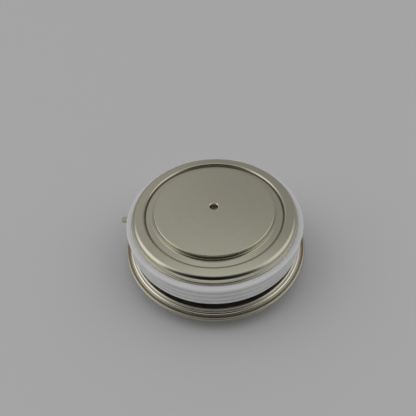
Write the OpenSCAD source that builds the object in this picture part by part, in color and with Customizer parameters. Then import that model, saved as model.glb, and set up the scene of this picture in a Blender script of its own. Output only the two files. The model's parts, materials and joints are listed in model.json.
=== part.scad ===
// Press-pack power thyristor: a round ceramic and metal capsule, made to be
// clamped between two heat sinks. Millimetres, +Z up.
// The origin is the centre of the lower (anode) contact face, and the gate
// terminal points along -X.

/* [Poles] */
// Diameter of the flat contact face on each pole
contact_d = 50; // [47:0.5:53]
// Small bevel round each contact face
pole_bevel = 0.3; // [0.1:0.1:0.6]
// How far the hidden shoulder of a pole stands out past its contact face
pole_shoulder = 1.2; // [0.9:0.1:1.5]
// Height of the lower pole, up to the wafer stack
anode_pole_h = 9; // [8.8:0.1:10]
// Diameter of the centring hole in each contact face
centre_hole_d = 3.5; // [2.5:0.1:5]
// Depth of the centring hole
centre_hole_depth = 2.2; // [1.5:0.1:2.8]
// Countersink at the mouth of the centring hole
centre_hole_bevel = 0.2; // [0.1:0.05:0.5]
// Point angle of the drill, left at the bottom of each centring hole
drill_point_angle = 118; // [100:1:140]
// Width of the step on the upper pole's inner end
inner_step_w = 1.5; // [1.2:0.1:2]
// Height of the step on the upper pole's inner end
inner_step_h = 2.5; // [1.5:0.1:3.5]

/* [Stack] */
// Height of the ceramic's lower face above the lower contact face
anode_stand = 8.65; // [8.2:0.05:9]
// Height of the upper contact face above the ceramic's top
cathode_stand = 4; // [3.8:0.1:5]
// How far the wafer reaches past the contact face
wafer_margin = 1; // [0.6:0.1:1.1]
// Thickness of the silicon wafer
wafer_t = 0.8; // [0.5:0.05:1.2]
// Radial width of the bevel on the wafer's edge
wafer_bevel = 0.8; // [0.4:0.1:1.2]
// Thickness of the lower molybdenum disc
anode_moly_t = 2.2; // [1.8:0.1:3]
// Thickness of the upper molybdenum disc
cathode_moly_t = 1.5; // [1:0.1:2.5]
// Thickness of each silver shim
shim_t = 0.2; // [0.1:0.05:0.4]
// Thickness of the rubber outside the wafer's edge
seal_t = 1.3; // [1:0.1:1.8]
// Height of the rubber above the wafer
seal_crown = 0.7; // [0.4:0.1:1]
// How far the rubber laps down over the lower disc
seal_lap = 0.5; // [0.3:0.1:0.8]
// How far the rubber laps over the wafer's upper face
seal_lip = 0.6; // [0.4:0.1:0.8]
// Rounding of the rubber's outer edge
seal_round_r = 0.9; // [0.4:0.1:0.95]
// Wall of the locating ring
locating_wall = 1.7; // [1.2:0.1:2.4]
// Height of the locating ring above the wafer
locating_rise = 1; // [0.5:0.1:2]

/* [Ceramic] */
// Height of the ceramic ring
ceramic_h = 13.35; // [12.8:0.05:16]
// Radial wall of the ceramic at its neck
neck_wall = 2.5; // [2:0.1:3.5]
// Height of the undercut neck
neck_h = 4.45; // [3:0.05:5.5]
// How far the ribbed band stands out past the neck
band_overhang = 5; // [4:0.1:6]
// Number of grooves round the band
groove_count = 3; // [1:1:5]
// Depth of each groove
groove_depth = 0.35; // [0.1:0.05:0.6]
// Rounding of the band's top edge
shoulder_r = 0.6; // [0.3:0.1:1.2]
// Rounding of the band's lower edge
lower_edge_r = 0.35; // [0.2:0.05:0.8]
// Rounding between the neck and the band
neck_fillet = 0.8; // [0.3:0.1:1.5]

/* [Sheet metal] */
// Thickness of the lid and flange sheets
sheet_t = 0.5; // [0.35:0.05:0.55]
// How far the collar's rim lies below a contact face
collar_drop = 1.25; // [1:0.05:1.35]
// How far the flat of a diaphragm lies below a contact face
annulus_drop = 2.07; // [1.9:0.01:2.3]
// Width of the diaphragm's flat between the pole and the step
annulus_w = 3.8; // [3:0.1:4.6]
// Height of the step up to the lid's ring
lid_step_h = 1.2; // [1.1:0.05:1.4]
// Width of the lid's raised ring
lid_ring_w = 5.45; // [4.9:0.05:5.6]
// Width of the lid's foot on the ceramic
foot_w = 0.4; // [0.35:0.05:0.6]
// Radial step from the ceramic to the flange's wall
weld_step = 1.3; // [1:0.1:2]
// Width of the flange's rim outside its wall
rim_w = 1.9; // [1.4:0.1:3]
// How far the rim's weld plane lies below the ceramic
rim_drop = 2.6; // [2.55:0.05:3.1]
// Width of the weld bead on the rim
bead_w = 0.75; // [0.4:0.05:1]
// How far the bead stands proud of each sheet
bead_proud = 0.15; // [0.05:0.05:0.3]
// Where the lower sheet starts to rise, measured outwards from its pole
dish_start = 6; // [4:0.1:7]
// Radial length of the lower sheet's rise
dish_run = 5.2; // [4:0.1:5.8]
// Bend radius, at the middle of the sheet, where a collar turns out into its flat
collar_bend_r = 0.65; // [0.4:0.05:0.75]
// Bend radius at both ends of the lid's step
step_bend_r = 0.35; // [0.3:0.05:0.45]
// Bend radius at the lid's outer edge
lid_edge_bend_r = 1.85; // [1.2:0.05:2.05]
// Bend radius at the foot of the lid's wall
foot_bend_r = 0.3; // [0.3:0.05:0.4]
// Bend radius between the flange's shelf and its wall
shelf_bend_r = 0.6; // [0.45:0.05:0.65]
// Bend radius between the flange's wall and its rim
rim_bend_r = 0.4; // [0.3:0.05:0.45]
// Bend radius at both ends of the lower sheet's rise
dish_bend_r = 1.8; // [0.8:0.1:2.5]

/* [Braze] */
// Thickness of the braze layer under the lid's foot
upper_braze_t = 0.17; // [0.1:0.01:0.3]
// Thickness of the metal ring under the ceramic
lower_braze_t = 1; // [0.95:0.05:1.05]
// Rounding of that ring's outer edge
braze_edge_r = 0.45; // [0.3:0.05:0.45]
// How far the braze rings stand out past what they join
braze_proud = 0.05; // [0.02:0.01:0.1]
// Thickness of the braze layer between a pole's shoulder and its sheet
pole_braze_t = 0.15; // [0.1:0.05:0.3]
// How far the metal ring under the ceramic reaches in past the bore
braze_ledge = 1.5; // [0.8:0.1:1.8]

/* [Gate] */
// Diameter of the gate pin
pin_d = 2; // [1.4:0.1:2.4]
// Diameter of the gate pin's head
pin_head_d = 4.6; // [4:0.1:5]
// Height of the gate pin's head
pin_head_h = 1; // [0.9:0.1:1.4]
// Wall of the guide round the gate pin where it passes the upper disc
guide_wall = 1.65; // [1.2:0.05:2]
// Inside diameter of the insulating cup
cup_bore_d = 5.8; // [5.6:0.1:6.4]
// Wall of the insulating cup
cup_wall = 1.2; // [0.8:0.1:1.6]
// Thickness of the cup's closed end
cup_top_t = 0.7; // [0.5:0.1:1]
// Height of the fitted gate spring
spring_h = 2.8; // [2:0.1:3]
// Outside diameter of the gate spring
spring_d = 4.3; // [3.4:0.1:4.8]
// Diameter of the spring's wire
spring_wire_d = 0.5; // [0.3:0.05:0.6]
// Turns of the gate spring
spring_turns = 4; // [2:0.5:5]
// Thickness of the seat under the spring
spring_seat_t = 0.3; // [0.2:0.1:0.5]
// Diameter of the gate wire
lead_d = 0.8; // [0.5:0.05:0.8]
// Distance from the pin's centre to the gate wire's inner end
lead_start = 0.6; // [0.3:0.1:1]
// Wall of the sleeve on the gate wire
sleeve_wall = 0.45; // [0.3:0.05:0.5]
// How far the sleeve reaches into the gate tube
sleeve_lap = 2; // [1:0.5:4]
// Wall of the gate tube
tube_wall = 0.4; // [0.3:0.05:0.6]
// How far the tube's inner end stands out of the ceramic's bore
tube_inner_l = 0.6; // [0.2:0.1:1]
// How far the tube's outer end stands out past the ceramic
tube_outer_l = 0.6; // [0.3:0.1:1.5]
// Width of the braze collar round the gate tube
tube_collar_w = 1.1; // [0.8:0.1:1.6]
// Thickness of the braze collar
tube_collar_t = 0.5; // [0.3:0.1:0.8]
// Depth of the flat seat for the collar, below the groove's floor
seat_depth = 0.5; // [0.3:0.1:1]
// Width of the gate terminal's blade
blade_w = 2.8; // [2:0.1:4]
// Thickness of the blade
blade_t = 0.8; // [0.5:0.05:1]
// Length of the blade past the tube
blade_l = 3.2; // [2:0.1:8]
// Bevel on the corners of the blade's tip
blade_bevel = 0.7; // [0.3:0.1:0.9]
// Length of the blade's tongue inside the tube
tongue_l = 1.5; // [0.8:0.1:2]

/* [Clearances] */
// Clearance between round pieces that are brazed, pressed or slid together
fit = 0.05; // [0.02:0.01:0.08]
// Clearance round loose inner pieces
loose = 0.2; // [0.1:0.05:0.3]

/* [Hidden] */
$fn = 96;

// Segments in a bend of a sheet, in a small rounding and along one groove
bend_steps = 8;
round_steps = 6;
groove_steps = 12;
// Sides of the spring's wire, and rings along one turn of it
wire_sides = 8;
rings_per_turn = 20;
// A cut runs this far past the face it opens
past = 1;

// Heights of the wafer stack, from the lower pole up
anode_moly_z = anode_pole_h + shim_t;
wafer_z = anode_moly_z + anode_moly_t;
wafer_top_z = wafer_z + wafer_t;
cathode_shim_z = wafer_top_z + cathode_moly_t;
cathode_inner_z = cathode_shim_z + shim_t;

// Heights of the housing
ceramic_top_z = anode_stand + ceramic_h;
total_h = ceramic_top_z + cathode_stand;
band_z = anode_stand + neck_h;
first_crest_z = band_z + lower_edge_r;
last_crest_z = ceramic_top_z - shoulder_r;
rim_z = anode_stand - rim_drop;
shelf_z = anode_stand - lower_braze_t;
shoulder_drop = annulus_drop + sheet_t + pole_braze_t;

// Radii, from the poles outwards
pole_r = contact_d / 2;
pole_shoulder_r = pole_r + pole_shoulder;
wafer_r = pole_r + wafer_margin;
inner_contact_r = pole_r - inner_step_w;
seal_r = wafer_r + seal_t;
locating_r = seal_r + loose + locating_wall;
bore_r = locating_r + loose;
neck_r = bore_r + neck_wall;
ceramic_r = neck_r + band_overhang;
braze_inner_r = bore_r - braze_ledge;
lid_step_r = pole_r + annulus_w;
lid_wall_r = lid_step_r + lid_ring_w;
foot_r = lid_wall_r + foot_w;
weld_wall_r = ceramic_r + weld_step;
flange_r = weld_wall_r + rim_w;
rim_sheet_r = flange_r - bead_w;

// Gate parts: the terminal lies level with the middle of the grooved wall
gate_z = (first_crest_z + last_crest_z) / 2;
lead_r = lead_d / 2;
sleeve_bore_r = lead_r + fit;
sleeve_r = sleeve_bore_r + sleeve_wall;
lead_slot_w = 2 * (sleeve_r + loose);
tube_bore_r = sleeve_r + fit;
tube_r = tube_bore_r + tube_wall;
tube_hole_r = tube_r + fit;
tube_start = bore_r - tube_inner_l;
tube_end = ceramic_r + tube_outer_l;
tongue_start = tube_end - tongue_l;
tongue_w = 2 * (sqrt(pow(tube_bore_r, 2) - pow(blade_t / 2, 2)) - fit);
collar_r = tube_hole_r + tube_collar_w;
collar_seat = ceramic_r - groove_depth - seat_depth;
pin_r = pin_d / 2;
guide_bore_r = pin_r + fit;
guide_nose_r = guide_bore_r + guide_wall;
disc_hole_r = guide_nose_r + fit;
cup_bore_r = cup_bore_d / 2;
cup_r = cup_bore_r + cup_wall;
pocket_r = cup_r + fit;
head_z = gate_z - pin_head_h / 2;
spring_seat_z = head_z + pin_head_h;
spring_z = spring_seat_z + spring_seat_t;
cup_z = gate_z - lead_slot_w / 2;
cup_ceiling_z = spring_z + spring_h;
pocket_z = cup_ceiling_z + cup_top_t;

// Colours as the photo shows them
nickel = [0.62, 0.61, 0.54];
alumina = [0.88, 0.88, 0.88];
braze = [0.72, 0.71, 0.64];
copper = [0.75, 0.47, 0.33];
molybdenum = [0.56, 0.56, 0.58];
silver = [0.80, 0.80, 0.78];
silicon = [0.32, 0.34, 0.38];
rubber = [0.78, 0.76, 0.72];
plastic = [0.92, 0.91, 0.87];

function unit(v) = v / norm(v);
function left_of(v) = [-v[1], v[0]];
function turned(v, a) = [v[0] * cos(a) - v[1] * sin(a), v[0] * sin(a) + v[1] * cos(a)];
function turn_angle(a, b) = atan2(a[0] * b[1] - a[1] * b[0], a * b);
function reversed(list) = [for (i = [len(list) - 1:-1:0]) list[i]];

// Points on an arc, from one angle to another
function arc(centre, r, from, to, steps = round_steps) =
    [for (i = [0:steps]) centre + r * [cos(from + (to - from) * i / steps), sin(from + (to - from) * i / steps)]];

// Points of one bend, on a line that lies off to the left of the centre line
function bend(before, corner, after, bend_r, off) =
    let (
        into = unit(corner - before),
        out = unit(after - corner),
        angle = turn_angle(into, out),
        side = sign(angle),
        centre = corner + side * bend_r / cos(angle / 2) * unit(left_of(into) + left_of(out))
    )
    [for (i = [0:bend_steps])
        centre - side * (bend_r - side * off) * turned(left_of(into), angle * i / bend_steps)];

// One side of a bent sheet: its ends, with a bend at each corner between them
function sheet_side(path, bends, off) =
    let (last = len(path) - 1)
    concat(
        [path[0] + off * left_of(unit(path[1] - path[0]))],
        [for (i = [1:last - 1]) each bend(path[i - 1], path[i], path[i + 1], bends[i - 1], off)],
        [path[last] + off * left_of(unit(path[last] - path[last - 1]))]
    );

// Section of a sheet of one thickness that follows a centre line
function sheet(path, bends, t) =
    concat(sheet_side(path, bends, t / 2), reversed(sheet_side(path, bends, -t / 2)));

module turned_ring(r_in, r_out, z, h) {
    translate([0, 0, z])
        difference() {
            cylinder(r = r_out, h = h);
            translate([0, 0, -past]) cylinder(r = r_in, h = h + 2 * past);
        }
}

// Puts a shape that stands on the Z axis on the gate's axis, pointing outwards
module along_gate(start = 0) {
    translate([-start, 0, gate_z]) rotate([0, -90, 0]) children();
}

module tube_along_gate(r_in, r_out, start, end) {
    along_gate(start)
        difference() {
            cylinder(r = r_out, h = end - start);
            translate([0, 0, -past]) cylinder(r = r_in, h = end - start + 2 * past);
        }
}

// Radial slot for the gate wire, open downwards from the given height
module lead_slot(from_z, length) {
    translate([-length, -lead_slot_w / 2, from_z])
        cube([length, lead_slot_w, gate_z + lead_slot_w / 2 - from_z]);
}

// Centring hole that opens downwards at z = 0, with the drill's point at its bottom
module centre_hole() {
    r = centre_hole_d / 2;
    point_h = r / tan(drill_point_angle / 2);
    translate([0, 0, -past]) cylinder(r = r, h = centre_hole_depth + past);
    translate([0, 0, -past])
        cylinder(r1 = r + centre_hole_bevel + past, r2 = r, h = centre_hole_bevel + past);
    translate([0, 0, centre_hole_depth]) cylinder(r1 = r, r2 = 0, h = point_h);
}

// Pole with its contact face at z = 0, facing down, and its wafer end on top
module pole_blank(h, inner_r, step_h) {
    difference() {
        rotate_extrude()
            polygon([
                [0, 0], [pole_r - pole_bevel, 0], [pole_r, pole_bevel], [pole_r, shoulder_drop],
                [pole_shoulder_r, shoulder_drop], [pole_shoulder_r, h - step_h],
                [inner_r, h - step_h], [inner_r, h], [0, h]
            ]);
        centre_hole();
    }
}

module anode_pole() {
    color(nickel) pole_blank(anode_pole_h, pole_shoulder_r - pole_bevel, pole_bevel);
}

module cathode_pole() {
    color(nickel)
        difference() {
            translate([0, 0, total_h]) mirror([0, 0, 1])
                pole_blank(total_h - cathode_inner_z, inner_contact_r, inner_step_h);
            translate([0, 0, cathode_inner_z - past])
                cylinder(r = pocket_r, h = pocket_z - cathode_inner_z + past);
            lead_slot(cathode_inner_z - past, pole_shoulder_r + past);
        }
}

module anode_braze_washer() {
    color(braze) turned_ring(pole_r + fit, pole_shoulder_r, shoulder_drop - pole_braze_t, pole_braze_t);
}

module cathode_braze_washer() {
    color(braze) turned_ring(pole_r + fit, pole_shoulder_r, total_h - shoulder_drop, pole_braze_t);
}

// Pressed lid: collar, flat, step, raised ring, wall and foot
module cathode_diaphragm() {
    half = sheet_t / 2;
    collar_r = pole_r + fit + half;
    flat_z = total_h - annulus_drop - half;
    ring_z = flat_z + lid_step_h;
    foot_z = ceramic_top_z + upper_braze_t + half;
    step_r = lid_step_r + half;
    wall_r = lid_wall_r - half;
    path = [
        [collar_r, total_h - collar_drop], [collar_r, flat_z], [step_r, flat_z], [step_r, ring_z],
        [wall_r, ring_z], [wall_r, foot_z], [foot_r, foot_z]
    ];
    bends = [collar_bend_r, step_bend_r, step_bend_r, lid_edge_bend_r, foot_bend_r];
    color(nickel) rotate_extrude() polygon(sheet(path, bends, sheet_t));
}

module upper_braze_ring() {
    color(braze)
        turned_ring(lid_wall_r - 2 * sheet_t, foot_r + braze_proud, ceramic_top_z, upper_braze_t);
}

// Crest of the ribbed band at both ends, with whole grooves between them
function band_wall() =
    let (
        pitch = (last_crest_z - first_crest_z) / groove_count,
        steps = groove_count * groove_steps
    )
    [for (i = [0:steps])
        let (z = first_crest_z + (last_crest_z - first_crest_z) * i / steps)
        [ceramic_r - groove_depth * (1 - cos(360 * (z - first_crest_z) / pitch)) / 2, z]];

module ceramic_ring() {
    section = concat(
        [[bore_r, anode_stand], [neck_r, anode_stand]],
        arc([neck_r + neck_fillet, band_z - neck_fillet], neck_fillet, 180, 90),
        arc([ceramic_r - lower_edge_r, first_crest_z], lower_edge_r, -90, 0),
        band_wall(),
        arc([ceramic_r - shoulder_r, last_crest_z], shoulder_r, 0, 90),
        [[bore_r, ceramic_top_z]]
    );
    color(alumina)
        difference() {
            rotate_extrude() polygon(section);
            along_gate(bore_r - past) cylinder(r = tube_hole_r, h = ceramic_r - bore_r + 2 * past);
            along_gate(collar_seat) cylinder(r = collar_r + fit, h = ceramic_r - collar_seat + past);
        }
}

module lower_braze_ring() {
    edge_centre_r = ceramic_r + braze_proud - braze_edge_r;
    color(braze)
        rotate_extrude()
            polygon(concat(
                [[braze_inner_r, shelf_z]],
                arc([edge_centre_r, shelf_z + braze_edge_r], braze_edge_r, -90, 0),
                arc([edge_centre_r, anode_stand - braze_edge_r], braze_edge_r, 0, 90),
                [[braze_inner_r, anode_stand]]
            ));
}

// Upper sheet of the flange: shelf, wall and rim
module weld_ring() {
    half = sheet_t / 2;
    wall_r = weld_wall_r - half;
    path = [
        [braze_inner_r, shelf_z - half], [wall_r, shelf_z - half],
        [wall_r, rim_z + half], [rim_sheet_r, rim_z + half]
    ];
    color(nickel) rotate_extrude() polygon(sheet(path, [shelf_bend_r, rim_bend_r], sheet_t));
}

// Lower sheet of the flange: collar, flat, dished rise and rim
module anode_diaphragm() {
    half = sheet_t / 2;
    collar_r = pole_r + fit + half;
    flat_z = annulus_drop + half;
    path = [
        [collar_r, collar_drop], [collar_r, flat_z], [pole_r + dish_start, flat_z],
        [pole_r + dish_start + dish_run, rim_z - half], [rim_sheet_r, rim_z - half]
    ];
    bends = [collar_bend_r, dish_bend_r, dish_bend_r];
    color(nickel) rotate_extrude() polygon(sheet(path, bends, sheet_t));
}

module rim_weld() {
    half_h = sheet_t + bead_proud;
    color(nickel)
        rotate_extrude()
            polygon([for (i = [0:2 * round_steps])
                let (a = -90 + 90 * i / round_steps)
                [rim_sheet_r + bead_w * cos(a), rim_z + half_h * sin(a)]]);
}

module anode_shim() {
    color(silver) translate([0, 0, anode_pole_h]) cylinder(r = wafer_r, h = shim_t);
}

module anode_moly_disc() {
    color(molybdenum) translate([0, 0, anode_moly_z]) cylinder(r = wafer_r, h = anode_moly_t);
}

module silicon_wafer() {
    color(silicon)
        translate([0, 0, wafer_z]) cylinder(r1 = wafer_r, r2 = wafer_r - wafer_bevel, h = wafer_t);
}

// Rubber bead that laps over the wafer's bevel and the disc under it
module wafer_edge_seal() {
    low_z = wafer_z - seal_lap;
    lip_r = wafer_r - wafer_bevel - seal_lip;
    crown_z = wafer_top_z + seal_crown;
    color(rubber)
        rotate_extrude()
            polygon(concat(
                [[wafer_r + fit, low_z], [seal_r, low_z]],
                arc([seal_r - seal_round_r, crown_z - seal_round_r], seal_round_r, 0, 90),
                [[lip_r, wafer_top_z + seal_crown / 2], [lip_r, wafer_top_z]],
                [[wafer_r - wafer_bevel + fit, wafer_top_z], [wafer_r + fit, wafer_z]]
            ));
}

module cathode_moly_disc() {
    color(molybdenum) turned_ring(disc_hole_r, inner_contact_r, wafer_top_z, cathode_moly_t);
}

module cathode_shim() {
    color(silver) turned_ring(disc_hole_r, inner_contact_r, cathode_shim_z, shim_t);
}

// Stands on the braze ring's ledge: its lip holds the disc, its wall the rubber
module locating_ring() {
    lip_r = max(wafer_r, pole_shoulder_r) + loose;
    lip_z = wafer_z - seal_lap - loose;
    color(plastic)
        rotate_extrude()
            polygon([
                [lip_r, anode_stand], [locating_r, anode_stand],
                [locating_r, wafer_top_z + locating_rise], [seal_r + loose, wafer_top_z + locating_rise],
                [seal_r + loose, lip_z], [lip_r, lip_z]
            ]);
}

module gate_pin() {
    color(braze)
        difference() {
            union() {
                translate([0, 0, wafer_top_z]) cylinder(r = pin_r, h = head_z - wafer_top_z);
                translate([0, 0, head_z]) cylinder(r = pin_head_d / 2, h = pin_head_h);
            }
            along_gate(lead_start) cylinder(r = lead_r + fit / 2, h = pin_head_d);
        }
}

// Bush that guides the pin: its nose passes the upper disc and the shim
module gate_guide() {
    color(plastic)
        difference() {
            union() {
                translate([0, 0, wafer_top_z + loose])
                    cylinder(r = guide_nose_r, h = cathode_inner_z - wafer_top_z);
                translate([0, 0, cathode_inner_z]) cylinder(r = cup_r, h = cup_z - cathode_inner_z);
            }
            translate([0, 0, wafer_top_z - past])
                cylinder(r = guide_bore_r, h = cup_z - wafer_top_z + 2 * past);
        }
}

module gate_cup() {
    color(plastic)
        difference() {
            translate([0, 0, cup_z]) cylinder(r = cup_r, h = pocket_z - cup_z);
            translate([0, 0, cup_z - past]) cylinder(r = cup_bore_r, h = cup_ceiling_z - cup_z + past);
            lead_slot(cup_z - past, cup_r + past);
        }
}

module gate_spring_seat() {
    color(braze) translate([0, 0, spring_seat_z]) cylinder(r = pin_head_d / 2, h = spring_seat_t);
}

// Point on ring i of the spring's wire, at wire angle a
function coil_point(i, a, coil_r, wire_r, rise) =
    let (
        turn = 360 * i / rings_per_turn,
        r = coil_r + wire_r * cos(a)
    )
    [r * cos(turn), r * sin(turn), rise * i / rings_per_turn + wire_r * sin(a)];

module gate_spring() {
    wire_r = spring_wire_d / 2;
    rise = (spring_h - spring_wire_d) / spring_turns;
    rings = spring_turns * rings_per_turn;
    points = [for (i = [0:rings], k = [0:wire_sides - 1])
        coil_point(i, 360 * k / wire_sides, spring_d / 2 - wire_r, wire_r, rise)];
    walls = [for (i = [0:rings - 1], k = [0:wire_sides - 1])
        let (a = i * wire_sides + k, b = i * wire_sides + (k + 1) % wire_sides)
        [a, b, b + wire_sides, a + wire_sides]];
    first_end = [[for (k = [wire_sides - 1:-1:0]) k]];
    last_end = [[for (k = [0:wire_sides - 1]) rings * wire_sides + k]];
    color(braze)
        translate([0, 0, spring_z + wire_r])
            polyhedron(points = points, faces = concat(walls, first_end, last_end));
}

module gate_lead() {
    color(copper) along_gate(lead_start) cylinder(r = lead_r, h = tongue_start - lead_start);
}

module gate_lead_sleeve() {
    color(plastic) tube_along_gate(sleeve_bore_r, sleeve_r, cup_bore_r, tube_start + sleeve_lap);
}

module gate_tube() {
    color(nickel) tube_along_gate(tube_bore_r, tube_r, tube_start, tube_end);
}

module gate_tube_collar() {
    color(nickel) tube_along_gate(tube_hole_r, collar_r, collar_seat, collar_seat + tube_collar_t);
}

module gate_solder() {
    color(braze)
        difference() {
            along_gate(tongue_start) cylinder(r = tube_bore_r, h = tongue_l);
            along_gate(tongue_start - past)
                translate([-blade_t / 2, -tube_r, 0]) cube([blade_t, 2 * tube_r, tongue_l + 2 * past]);
        }
}

// Flat blade, with a tongue that closes the tube's end together with the solder
module gate_terminal() {
    half = blade_w / 2;
    tongue_half = tongue_w / 2;
    tip = tube_end + blade_l;
    color(nickel)
        translate([0, 0, gate_z - blade_t / 2])
            linear_extrude(blade_t)
                polygon([
                    [-tongue_start, -tongue_half], [-tongue_start, tongue_half],
                    [-tube_end, tongue_half], [-tube_end, half],
                    [blade_bevel - tip, half], [-tip, half - blade_bevel],
                    [-tip, blade_bevel - half], [blade_bevel - tip, -half],
                    [-tube_end, -half], [-tube_end, -tongue_half]
                ]);
}

anode_pole();
anode_braze_washer();
anode_diaphragm();
rim_weld();
weld_ring();
lower_braze_ring();
ceramic_ring();
upper_braze_ring();
cathode_diaphragm();
cathode_braze_washer();
cathode_pole();
anode_shim();
anode_moly_disc();
silicon_wafer();
wafer_edge_seal();
cathode_moly_disc();
cathode_shim();
locating_ring();
gate_pin();
gate_guide();
gate_cup();
gate_spring();
gate_spring_seat();
gate_lead();
gate_lead_sleeve();
gate_tube();
gate_tube_collar();
gate_solder();
gate_terminal();
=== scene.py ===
# %% [markdown]
# # A press-pack thyristor on a studio table
# The object is a round capsule: two nickel-plated copper poles, a thin pressed lid on top, a white
# ceramic wall with shallow ribs, and a welded metal flange below. The solids come from the packed
# frame, at their real size. This script gives each of them its finish, and it makes the thin
# sheets and the weld again with a finer mesh, because polished metal shows every facet.

# %% Load the frame
import json
import math

import bmesh
import bpy
from mathutils import Matrix, Vector


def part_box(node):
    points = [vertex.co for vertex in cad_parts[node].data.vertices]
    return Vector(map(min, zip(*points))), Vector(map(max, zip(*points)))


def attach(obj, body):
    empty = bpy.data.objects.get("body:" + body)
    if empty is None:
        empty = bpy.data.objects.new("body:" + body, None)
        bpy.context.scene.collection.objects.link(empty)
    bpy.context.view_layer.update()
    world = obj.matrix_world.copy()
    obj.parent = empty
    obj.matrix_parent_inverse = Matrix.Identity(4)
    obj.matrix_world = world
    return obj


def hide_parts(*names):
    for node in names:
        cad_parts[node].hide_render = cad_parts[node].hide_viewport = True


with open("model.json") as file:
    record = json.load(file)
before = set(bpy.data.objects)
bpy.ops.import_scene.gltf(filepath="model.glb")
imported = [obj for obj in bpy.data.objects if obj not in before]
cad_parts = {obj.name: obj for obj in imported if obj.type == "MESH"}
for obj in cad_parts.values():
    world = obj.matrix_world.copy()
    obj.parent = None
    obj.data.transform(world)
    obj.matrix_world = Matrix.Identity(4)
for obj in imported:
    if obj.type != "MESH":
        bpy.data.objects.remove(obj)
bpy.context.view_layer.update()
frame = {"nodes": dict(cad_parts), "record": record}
MM = 0.001

# %% [markdown]
# ## Camera
# The photograph was taken from close by, looking down on the table. The circles of the capsule
# give the whole camera: how far away it stands, how steeply it looks down, a small turn round the
# vertical and a small tilt of the frame. The lens follows from the focal length in pixels.

# %% Camera
PHOTO_W_PX = 416
FOCAL_PX = 316.2
SENSOR_W_MM = 36.0
eye = Vector((4.9, -90.9, 120.1)) * MM
heading_deg = 4.6
pitch_deg = 46.2
tilt_deg = -3.18


def turn(degrees, axis):
    return Matrix.Rotation(math.radians(degrees), 4, axis)


camera_data = bpy.data.cameras.new("photo_camera")
camera_data.sensor_width = SENSOR_W_MM
camera_data.lens = FOCAL_PX / PHOTO_W_PX * SENSOR_W_MM
camera_data.clip_start = 0.005
camera_data.clip_end = 50.0
camera = bpy.data.objects.new("photo_camera", camera_data)
camera.matrix_world = (
    Matrix.Translation(eye) @ turn(heading_deg, "Z") @ turn(90 - pitch_deg, "X") @ turn(tilt_deg, "Z")
)
bpy.context.scene.collection.objects.link(camera)
bpy.context.scene.camera = camera
bpy.context.scene.view_settings.view_transform = "Standard"
print("camera: lens", round(camera_data.lens, 2), "mm, eye", [round(x / MM, 1) for x in eye])

# %% [markdown]
# ## Node helpers
# Every material, and the sky too, is a tree of shader nodes. Small helpers keep the trees readable:
# one adds a node and sets its values by name, one joins an output to an input, and others make
# masks from a radius or a height. Group sockets are made with interface.new_socket, so each group
# shows what goes in and out.


# %% Node helpers
def add(tree, kind, settings=None, **inputs):
    """Adds a node. Settings are its own properties, and inputs are the values of its sockets."""
    node = tree.nodes.new(kind)
    for name, value in (settings or {}).items():
        setattr(node, name, value)
    for name, value in inputs.items():
        node.inputs[name.replace("_", " ")].default_value = value
    return node


def join(tree, source, target):
    tree.links.new(source, target)


def math_node(tree, operation, a, b=None, clamp=False):
    """One sum: a and b are sockets or numbers."""
    node = add(tree, "ShaderNodeMath", {"operation": operation, "use_clamp": clamp})
    for i, value in enumerate((a, b)):
        if value is None:
            continue
        if isinstance(value, (int, float)):
            node.inputs[i].default_value = value
        else:
            join(tree, value, node.inputs[i])
    return node.outputs[0]


def remap(tree, value, low, high, to_low=0.0, to_high=1.0, smooth=False):
    """Maps low..high to to_low..to_high, clamped."""
    kind = "SMOOTHSTEP" if smooth else "LINEAR"
    node = add(tree, "ShaderNodeMapRange", {"interpolation_type": kind, "clamp": True})
    for i, number in enumerate((low, high, to_low, to_high)):
        node.inputs[i + 1].default_value = number
    join(tree, value, node.inputs[0])
    return node.outputs[0]


def rises(tree, value, low, high, smooth=False):
    """0 below low and 1 above high, both in millimetres."""
    return remap(tree, value, low * MM, high * MM, smooth=smooth)


def falls(tree, value, low, high, top=1.0):
    """The top value below low and 0 above high, both in millimetres."""
    return remap(tree, value, low * MM, high * MM, top, 0.0)


def above(tree, value, limit):
    return math_node(tree, "GREATER_THAN", value, limit * MM)


def below(tree, value, limit):
    return math_node(tree, "LESS_THAN", value, limit * MM)


def both(tree, *masks):
    """The product of several masks: 1 only where all of them are 1."""
    product = masks[0]
    for mask in masks[1:]:
        product = math_node(tree, "MULTIPLY", product, mask)
    return product


def new_group(name, inputs, outputs):
    """A shader group with named sockets. Gives the tree and its input and output nodes."""
    tree = bpy.data.node_groups.new(name, "ShaderNodeTree")
    for label, kind, value in inputs:
        socket = tree.interface.new_socket(label, in_out="INPUT", socket_type=kind)
        if value is not None:
            socket.default_value = value
    for label, kind in outputs:
        tree.interface.new_socket(label, in_out="OUTPUT", socket_type=kind)
    taken, given = ([row[0] for row in rows] for rows in (inputs, outputs))
    print("group", name, "takes", taken, "and gives", given)
    return tree, tree.nodes.new("NodeGroupInput"), tree.nodes.new("NodeGroupOutput")


def use_group(tree, group, **inputs):
    """Places a group in a material. Inputs are numbers or sockets."""
    node = tree.nodes.new("ShaderNodeGroup")
    node.node_tree = group
    for name, value in inputs.items():
        socket = node.inputs[name.replace("_", " ")]
        if isinstance(value, (int, float)):
            socket.default_value = value
        else:
            join(tree, value, socket)
    return node


FLOAT, VECTOR = "NodeSocketFloat", "NodeSocketVector"
print("helpers ready")

# %% [markdown]
# ## Table
# A plain pale table, much larger than the view, so no edge shows. It keeps the capsule's shadow
# and it is mirrored in the flange, so it is a real surface and not only a background colour.

# %% Table
TABLE_HALF_M = 12.0
TABLE_COLOUR = (0.76, 0.76, 0.773)
TABLE_ROUGHNESS = 0.6
TABLE_SPECULAR = 0.25

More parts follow.
